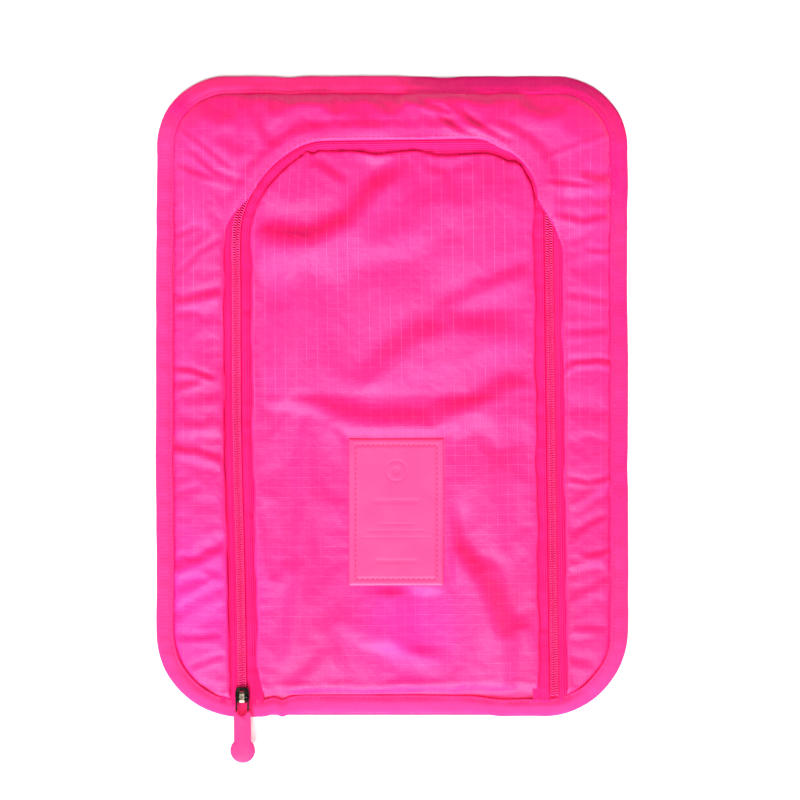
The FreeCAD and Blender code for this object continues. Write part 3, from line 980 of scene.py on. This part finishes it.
# The folded tape's section, from its lower hem out, round and back: inwards from the outline, and height
BINDING_SECTION = [
    (8.6, 0.5), (8.2, 0.06), (5.0, 0.0), (2.0, 0.0), (0.8, 0.12), (0.2, 0.6), (0.0, 1.2), (0.15, 1.8),
    (0.6, 2.35), (1.4, 2.75), (2.4, 2.95), (3.4, 3.05), (4.4, 3.1), (5.2, 3.15), (6.0, 3.15),
    (6.8, 3.05), (7.4, 2.9), (7.9, 3.0), (8.4, 2.95), (8.85, 2.75), (9.0, 2.45), (8.8, 2.1),
]


def bound_edge():
    rail, inwards = binding_rail()
    section = np.array(BINDING_SECTION)
    reach, along = distances(section), distances(rail)
    flex = ripple(rail, (6.5, 6.5), 41)
    slow = ripple(rail, (20.0, 20.0), 43)
    lean = leaning(rail[:, 0], rail[:, 1])
    filled = smooth(0.6 + 1.2 * ripple(rail, (30.0, 30.0), 45))
    points, uvs = [], []
    for i in range(len(rail)):
        for j, (u, v) in enumerate(section):
            raised = v * binding_rise(u, lean[i]) if v > 0.3 else v
            if v > 2.0:
                raised += (0.6 * flex[i] + 0.6 * slow[i]) * math.sin(math.pi * min(u / 8.0, 1.0))
                raised += 0.35 * filled[i] * bell(u, 4.7, 1.6)
            x, y = rail[i] + inwards[i] * u * (1.0 + 0.05 * slow[i] * (u > 5.0))
            points.append((x, y, max(raised, 0.0)))
            uvs.append((reach[j], along[i]))
    width = len(section)
    faces = [(a, d, c, b) for a, b, c, d in grid_faces(len(rail), width, closed=True)]
    obj = new_mesh("bound_edge", points, faces, uvs)
    # Where the ring closes, its weave runs on to the end of the tape instead of back to the start
    cut = obj.data.uv_layers["cut"].data
    for polygon in obj.data.polygons[-(width - 1):]:
        for corner in polygon.loop_indices:
            if obj.data.loops[corner].vertex_index < width:
                cut[corner].uv.y = (along[-1] + BINDING_STEP) * MM
    thicken(obj, 0.3)
    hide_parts("edge_binding")
    return finish_piece(obj, BINDING)


def bound_edge_stitches(edge):
    rail, inwards = binding_rail()
    line = rail + inwards * BINDING_STITCHES_IN
    line = np.vstack([line, line[:1]])
    obj = threads("bound_edge_stitches", edge, line, 3.3, (0.0, 0.0, 1.0), 3.1, 2.3, 0.2, 0.16)
    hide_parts("binding_thread")
    return finish_piece(obj, THREAD)


# ---- the zip ----


def strip(name, columns, low_y, thickness, mat, puckers=0.0):
    """A tape along the zip. Columns are (offset from its line, height), and puckers wave its middle."""
    line = arch_line(0.0, low_y, 1.5)
    side = outward(line)
    wave = 1.3 * ripple(line, (3.6, 3.6), 51) + 0.6 * ripple(line, (9.0, 9.0), 53) + 0.3
    first, last = columns[0][0], columns[-1][0]
    lengths = distances(line)
    points, uvs = [], []
    for i in range(len(line)):
        for offset, height in columns:
            x, y = line[i] + side[i] * offset
            middle = math.sin(math.pi * (offset - first) / (last - first))
            points.append((x, y, height + puckers * middle * wave[i]))
            uvs.append((offset, lengths[i]))
    obj = new_mesh(name, place(points), grid_faces(len(line), len(columns)), uvs)
    thicken(obj, thickness, 0.0)
    return finish_piece(obj, mat)


def coil(name, side_sign, shift):
    """A wound filament, pressed flat: one leg of a turn is over the other, and it steps on at the outside."""
    sides = 6
    per_turn = 12
    radius = 0.27
    lean = 0.22
    line = arch_line(0.0, COIL_FOOT, 0.4)
    along = distances(line)
    turns = int(along[-1] / COIL_PITCH) - 1
    angle = np.linspace(0, 2 * math.pi * turns, turns * per_turn + 1)
    turn = np.round(angle / (2 * math.pi))
    step = 0.5 * np.clip((angle - 2 * math.pi * turn) / (0.3 * math.pi), -1, 1)
    middle = side_sign * (COIL_REACH + COIL_GAP) / 2
    half = (COIL_REACH - COIL_GAP) / 2 - radius
    offset = middle + side_sign * half * np.cos(angle)
    at = COIL_PITCH * (turn + step + 0.5 + shift) + lean * offset
    side = read_along(at, along, outward(line))
    height = TAPE_THICKNESS + 0.8 + 0.5 * np.clip(1.5 * np.sin(angle), -1, 1)
    centre = place(np.column_stack([read_along(at, along, line) + side * offset[:, None], height]))
    run = np.gradient(centre, axis=0)
    run /= np.linalg.norm(run, axis=1)[:, None]
    forward = np.column_stack([side[:, 1], -side[:, 0], np.zeros(len(at))])
    first = forward - run * np.sum(forward * run, axis=1)[:, None]
    first /= np.maximum(np.linalg.norm(first, axis=1), 1e-6)[:, None]
    second = np.cross(first, run)
    around = 2 * math.pi * np.arange(sides) / sides
    ring = [centre + first * radius * math.cos(a) + second * radius * math.sin(a) for a in around]
    points = np.stack(ring, axis=1).reshape(-1, 3)
    return finish_piece(new_mesh(name, points, tube_faces(len(centre), sides)), COIL)


def bend_with_flap(obj):
    """Bakes a piece's placement into its mesh."""
    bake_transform(obj)


# Across each tape: distance from the zip's line, and height
OUTER_TAPE = [
    (0.1, -0.35), (2.3, -0.35), (2.7, 0.25), (3.4, 0.35), (4.4, 0.15), (5.2, -0.15), (6.0, -0.4), (7.2, -0.2),
    (TAPE_WIDTH, 0.2),
]
INNER_TAPE = [
    (-TAPE_WIDTH, 0.2), (-9.0, -0.2), (-7.8, -0.45), (-6.9, -0.35), (-5.8, 0.1), (-4.4, 0.45), (-3.4, 0.4),
    (-2.7, 0.25), (-2.3, -0.35), (-0.1, -0.35),
]
BORDER_SEAM_TAPE = [(6.0, -0.85), (8.5, -0.6), (TAPE_WIDTH, -0.2)]
PANEL_SEAM_TAPE = [(-TAPE_WIDTH, -0.2), (-8.5, -0.75), (-6.0, -0.8)]


def zip_pieces():
    outer = strip("outer_tape", OUTER_TAPE, TAPE_FOOT, 0.4, ZIP_TAPE, puckers=0.12)
    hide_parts("zip_tape_outer")
    inner = strip("inner_tape", INNER_TAPE, TAPE_FOOT, 0.4, ZIP_TAPE, puckers=0.6)
    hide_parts("zip_tape_inner", "inner_tape_tails")
    outer_coil = coil("outer_coil", 1, 0.0)
    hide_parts("zip_coil_outer")
    inner_coil = coil("inner_coil", -1, 0.5)
    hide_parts("zip_coil_inner", "inner_coil_tails")
    behind = strip(
        "border_seam_tape", BORDER_SEAM_TAPE, BORDER_SEAM_TAPE_FOOT, 0.35, SEAM_TAPE
    )
    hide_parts("surround_seam_tape")
    inside = strip(
        "panel_seam_tape_cloth", PANEL_SEAM_TAPE, PANEL_SEAM_TAPE_FOOT, 0.35, SEAM_TAPE
    )
    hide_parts("panel_seam_tape")
    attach(inside, "flap")
    for piece in (outer, outer_coil, behind):
        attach(piece, "bag")
    for piece in (inner, inner_coil):
        bend_with_flap(piece)


def border_stitches(border):
    """The row that holds the border to the tape, a little outside its turned edge."""
    line = to_bag(border_inner(1.9, BORDER_STITCHES_FOOT, 1.5))
    up = (0.0, -math.sin(RISE), math.cos(RISE))
    obj = threads("border_stitches", border, line, plane_z(line[:, 1]) + 2.0, up, 2.9, 2.1, 0.17, 0.1)
    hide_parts("surround_thread")
    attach(obj, "bag")
    finish_piece(obj, THREAD)


# ---- label, slider and pull ----

LABEL_RIM = 3.3


def label_relief(x, y):
    """Pressed-in marks on the label, all generic: a plain pair of rings and rows of level bars."""
    u, v = x - LABEL_X, y - LABEL_Y
    away = np.hypot(u, v - 21.0)
    relief = -0.12 * smooth((0.7 - np.abs(away - 5.2)) / 0.5)
    relief = relief - 0.12 * smooth((2.2 - away) / 0.6)
    bars = [(5.5, 11.5, 1.3), (-6.0, 9.5, 0.35), (-9.4, 15.0, 0.35), (-12.8, 17.0, 0.35), (-24.8, 10.5, 1.1)]
    for bar_y, half, tall in bars:
        inside = np.minimum(half - np.abs(u), tall - np.abs(v - bar_y))
        relief = relief - 0.10 * smooth((inside + 0.2) / 0.5)
    from_edge = np.minimum(LABEL_HALF_X - np.abs(u), LABEL_HALF_Y - np.abs(v))
    relief = relief - 0.14 * bell(from_edge, LABEL_RIM, 0.55)
    return relief + 0.12 * smooth((from_edge - LABEL_RIM) / 1.6)


def label_lines(half):
    """Places of the grid lines across half the label's size each way, closer together at the edges."""
    rim = np.array([0.0, 0.12, 0.4, 0.9])
    middle = np.linspace(-half + 1.4, half - 1.4, int(2 * half / 0.55))
    return np.concatenate([-half + rim, middle, (half - rim)[::-1]])


def label_piece():
    """The patch lies on the flap's cloth. Its grid is fine, so that its pressed marks are real."""
    us, vs = label_lines(LABEL_HALF_X), label_lines(LABEL_HALF_Y)
    grid_u, grid_v = np.meshgrid(us, vs)
    u, v = grid_u.ravel(), grid_v.ravel()
    flat_x, flat_y = upright(u + LABEL_X, v + LABEL_Y)
    inside = -arch_distance(flat_x, flat_y) - PANEL_EDGE
    under = place(np.column_stack([flat_x, flat_y, panel_height(flat_y, inside)]))[:, 2]
    edge = np.minimum(LABEL_HALF_X - np.abs(u), LABEL_HALF_Y - np.abs(v))
    z = under + 0.15 + 0.6 * rolled(edge, 1.5) + label_relief(u + LABEL_X, v + LABEL_Y)
    points = np.column_stack([u + LABEL_X, v + LABEL_Y, z])
    obj = new_mesh("label", points, grid_faces(len(vs), len(us)), np.column_stack([u, v]))
    thicken(obj, 0.5)
    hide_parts("label_patch")
    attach(obj, "flap")
    finish_piece(obj, LABEL)
    corners = SQUARE * [LABEL_HALF_X - LABEL_RIM, LABEL_HALF_Y - LABEL_RIM]
    loop = spaced(corners + [LABEL_X, LABEL_Y], 1.0, closed=True)
    loop = np.vstack([loop, loop[:1]])
    stitches = threads("label_stitching", obj, loop, 10.0, (0.0, 0.0, 1.0), 2.6, 1.9, 0.24, 0.18)
    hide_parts("label_stitches")
    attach(stitches, "flap")
    finish_piece(stitches, THREAD)


# The pull's tab, measured from its pivot on the slider
TAB_TOP = 7.0
TAB_HALF_NECK = 4.35
TAB_BULB_RADIUS = 6.35
TAB_BULB_REACH = 27.3
TAB_THICKNESS = 1.8
TAB_NOTCH_RADIUS = 2.3
TAB_NECK_END = 15.0
TAB_RIM = 0.7


def tab_outline():
    """Closed outline: a round end, a straight neck, and a notch between two horns for the wire's loop."""
    horn = (TAB_HALF_NECK - TAB_NOTCH_RADIUS) / 2
    horn_x = TAB_HALF_NECK - horn
    meets = math.degrees(math.acos(TAB_HALF_NECK / TAB_BULB_RADIUS))
    pieces = [
        arc(0, -TAB_BULB_REACH, TAB_BULB_RADIUS, meets, -180 - meets, 0.5),
        [(-TAB_HALF_NECK, -TAB_NECK_END)],
        arc(-horn_x, -TAB_TOP - horn, horn, 180, 12, 0.3),
        arc(0, -TAB_TOP, TAB_NOTCH_RADIUS, -156, -24, 0.4),
        arc(horn_x, -TAB_TOP - horn, horn, 168, 0, 0.3),
        [(TAB_HALF_NECK, -TAB_NECK_END)],
    ]
    return spaced(np.vstack(pieces), 0.45, closed=True)


def pull_tab_piece():
    """The tab as it is moulded: a rounded rim all round, swelling at the horns."""
    outline = tab_outline()
    inwards = -outward(outline, closed=True)
    inwards = (inwards + np.roll(inwards, 1, axis=0) + np.roll(inwards, -1, axis=0)) / 3
    swell = 1 + 0.3 * smooth((outline[:, 1] + 13.0) / 4.0)
    rings = []
    for angle in np.radians([-90, -60, -30, 0, 30, 60, 90]):
        inset = TAB_RIM * (1 - math.cos(angle))
        level = (TAB_THICKNESS / 2 - TAB_RIM) * np.sign(angle) + TAB_RIM * math.sin(angle)
        rings.append(np.column_stack([outline + inwards * inset, level * swell]))
    points = np.vstack(rings)
    swing = next(joint for joint in frame["record"]["behaviour"]["joints"] if joint["name"] == "pull_swing")
    placed = place(points) - place((0.0, 0.0, 0.0)) + np.array(swing["pos_m"]) / MM
    obj = new_mesh("pull_tab_rubber", placed, tube_faces(len(rings), len(outline)), points[:, :2])
    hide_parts("pull_tab")
    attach(obj, "pull")
    finish_piece(obj, RUBBER)


def cad_finishes():
    """CAD nodes that are shown as they are, with their finishes; the bail's lighter metal is a painted
    highlight.
    """
    give_material(frame["nodes"]["slider_body"], SLIDER_METAL)
    give_material(frame["nodes"]["slider_bail"], BAIL_HIGHLIGHT_METAL)
    give_material(frame["nodes"]["lock_spring"], SPRING_METAL)
    give_material(frame["nodes"]["pull_wire"], WIRE_METAL)


# ---- stage ----


def stage():
    mesh = bpy.data.meshes.new("floor")
    half_size = 3.0
    mesh.from_pydata([(x, y, 0) for x, y in SQUARE * half_size], [], [(0, 1, 2, 3)])
    floor = new_object("floor", mesh)
    floor.location.z = -0.0004
    floor.data.materials.append(material("floor_white", (0.93, 0.93, 0.93), 0.9, specular=0.1))

    # The room is brightest near the horizon and on the side of the bag's foot
    world = bpy.data.worlds.new("studio")
    bpy.context.scene.world = world
    world.use_nodes = True
    n = Nodes(world)
    split = n.new("SeparateXYZ")
    n.link(n.new("TexCoord").outputs["Generated"], split.inputs[0])
    by_height = n.ramp(split.outputs[2], 2.0, 0.4)
    by_side = n.ramp(split.outputs[1], 1.55, 0.12, -0.4, 0.8)
    background = world.node_tree.nodes["Background"]
    background.inputs["Color"].default_value = (1.0, 1.0, 1.0, 1.0)
    n.link(n.times(by_height, by_side), background.inputs["Strength"])

    for name, energy, elevation, spread in (("key", 4.5, 38, 14), ("softbox", 1.3, 63, 24)):
        light = bpy.data.lights.new(name, "SUN")
        light.energy = energy
        light.angle = math.radians(spread)
        towards = Vector((*FALL, -math.tan(math.radians(elevation))))
        new_object(name, light).rotation_euler = towards.to_track_quat("-Z", "Y").to_euler()

    camera = bpy.data.cameras.new("camera")
    distance = 2.0
    view_width = 0.408
    camera.lens = camera.sensor_width * distance / view_width
    holder = new_object("camera", camera)
    holder.location = (0.0041, -0.0018, distance)
    bpy.context.scene.camera = holder
    bpy.context.scene.view_settings.view_transform = "Standard"


stage()
panel = panel_cloth()
border = border_cloth()
back = back_cloth()
edge = bound_edge()
zip_pieces()
edge_thread = bound_edge_stitches(edge)
for piece in (border, back, edge, edge_thread):
    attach(piece, "bag")
border_stitches(border)
for piece in (panel, border):
    thicken(piece, CLOTH_THICKNESS)
bend_with_flap(panel)
label_piece()
pull_tab_piece()
cad_finishes()
